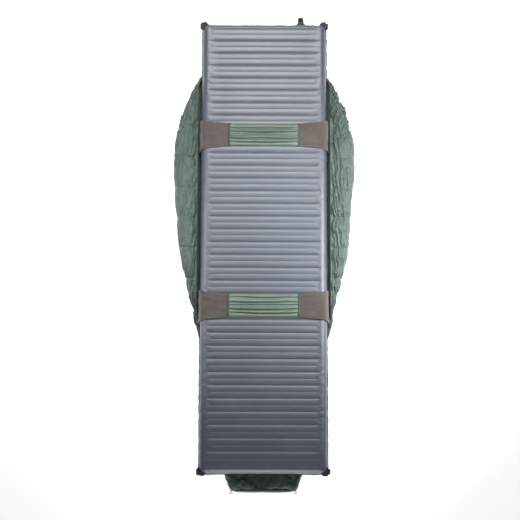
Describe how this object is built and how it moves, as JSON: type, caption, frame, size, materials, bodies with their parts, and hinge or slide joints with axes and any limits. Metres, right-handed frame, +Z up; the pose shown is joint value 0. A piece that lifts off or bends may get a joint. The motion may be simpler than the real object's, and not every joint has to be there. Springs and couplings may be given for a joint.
{
  "type": "camp quilt on an air sleeping pad",
  "caption": "Down camp quilt with baffles, a closed footbox and two elastic straps that hold a ribbed air pad with its valve.",
  "frame": {"origin": "on the floor, under the middle of the whole object's box, with the quilt lying on its outer face and the pad on top of it", "axes": "+Y along the centre line towards the head end and the valve, +Z up through the pad's ground side, +X across to the valve's side"},
  "size_m": [0.7442, 1.9377, 0.1205],
  "materials": {
    "baffle_mesh": "fine open mesh",
    "down_fill": "lofty down clusters",
    "edge_binding": "narrow folded woven binding",
    "lining_fabric": "thin woven nylon, soft and matte",
    "loop_cord": "round woven cord",
    "pad_film": "thin clear film",
    "pad_foil": "metallised film",
    "pad_ground_fabric": "coated woven nylon with a dull gloss",
    "pad_sleep_fabric": "coated woven nylon",
    "shell_fabric": "thin woven nylon with a satin sheen",
    "snap_metal": "satin black",
    "strap_elastic": "woven elastic band",
    "strap_gather": "thin woven nylon, gathered",
    "strap_seam": "folded and stitched seam",
    "strap_stretch": "matte stretch knit",
    "tab_webbing": "flat woven webbing",
    "valve_boot": "moulded and welded to the pad",
    "valve_plastic": "moulded, fine grain",
    "valve_plunger": "moulded",
    "valve_rubber": "soft seal"
  },
  "bodies": {
    "quilt": {"baffle_walls": "baffle_mesh", "edge_tape_left": "edge_binding", "edge_tape_right": "edge_binding", "fill_01": "down_fill", "fill_02": "down_fill", "fill_03": "down_fill", "fill_04": "down_fill", "fill_05": "down_fill", "fill_06": "down_fill", "fill_07": "down_fill", "fill_08": "down_fill", "fill_09": "down_fill", "fill_10": "down_fill", "fill_11": "down_fill", "fill_12": "down_fill", "fill_13": "down_fill", "fill_14": "down_fill", "fill_15": "down_fill", "foot_end_panel": "shell_fabric", "lining_face": "lining_fabric", "lining_foot_underside": "lining_fabric", "lining_side_left": "lining_fabric", "lining_side_right": "lining_fabric", "lower_strap_elastic": "strap_elastic", "lower_strap_gathered_middle": "strap_gather", "lower_strap_panel_left": "strap_stretch", "lower_strap_panel_right": "strap_stretch", "lower_strap_seam_left": "strap_seam", "lower_strap_seam_right": "strap_seam", "neck_binding": "edge_binding", "neck_snap_socket": "snap_metal", "neck_snap_socket_cap": "snap_metal", "neck_snap_stud": "snap_metal", "neck_snap_stud_cap": "snap_metal", "neck_tab_left": "tab_webbing", "neck_tab_right": "tab_webbing", "shell_face": "shell_fabric", "shell_foot_underside": "shell_fabric", "shell_side_left": "shell_fabric", "shell_side_right": "shell_fabric", "upper_strap_elastic": "strap_elastic", "upper_strap_gathered_middle": "strap_gather", "upper_strap_panel_left": "strap_stretch", "upper_strap_panel_right": "strap_stretch", "upper_strap_seam_left": "strap_seam", "upper_strap_seam_right": "strap_seam"},
    "pad": {"pad_ground_sheet": "pad_ground_fabric", "pad_sleep_sheet": "pad_sleep_fabric", "pad_weld_rim": "pad_ground_fabric", "pad_corner_tabs": "pad_ground_fabric", "pad_core_ground_side": "pad_film", "pad_core_sleep_side": "pad_film", "pad_reflective_film": "pad_foil", "valve_boot": "valve_boot", "valve_body": "valve_plastic"},
    "valve_plunger": {"valve_plunger": "valve_plunger", "valve_seal": "valve_rubber"},
    "valve_knob": {"valve_knob": "valve_plastic"},
    "foot_loop_left": {"foot_loop_left": "loop_cord"},
    "foot_loop_right": {"foot_loop_right": "loop_cord"}
  },
  "joints": [
    {"name": "pad_slide", "type": "slide", "parent": "quilt", "child": "pad", "axis": [0, 1, 0], "range_m": [0, 1.8]},
    {"name": "valve_lift", "type": "slide", "parent": "pad", "child": "valve_plunger", "axis": [0, 1, 0], "range_m": [0, 0.003]},
    {"name": "valve_turn", "type": "hinge", "parent": "valve_plunger", "child": "valve_knob", "pos_m": [0.15, 0.961, 0.084], "axis": [0, 1, 0], "range_deg": [0, 270]},
    {"name": "foot_loop_left_flop", "type": "hinge", "parent": "quilt", "child": "foot_loop_left", "pos_m": [-0.128, -0.9576, 0.025], "axis": [1, 0, 0], "range_deg": [-80, 80]},
    {"name": "foot_loop_right_flop", "type": "hinge", "parent": "quilt", "child": "foot_loop_right", "pos_m": [0.128, -0.9576, 0.025], "axis": [1, 0, 0], "range_deg": [-80, 80]}
  ],
  "couplings": [
    {"joint": "valve_turn", "follows": "valve_lift", "rad_per_m": 1570}
  ]
}
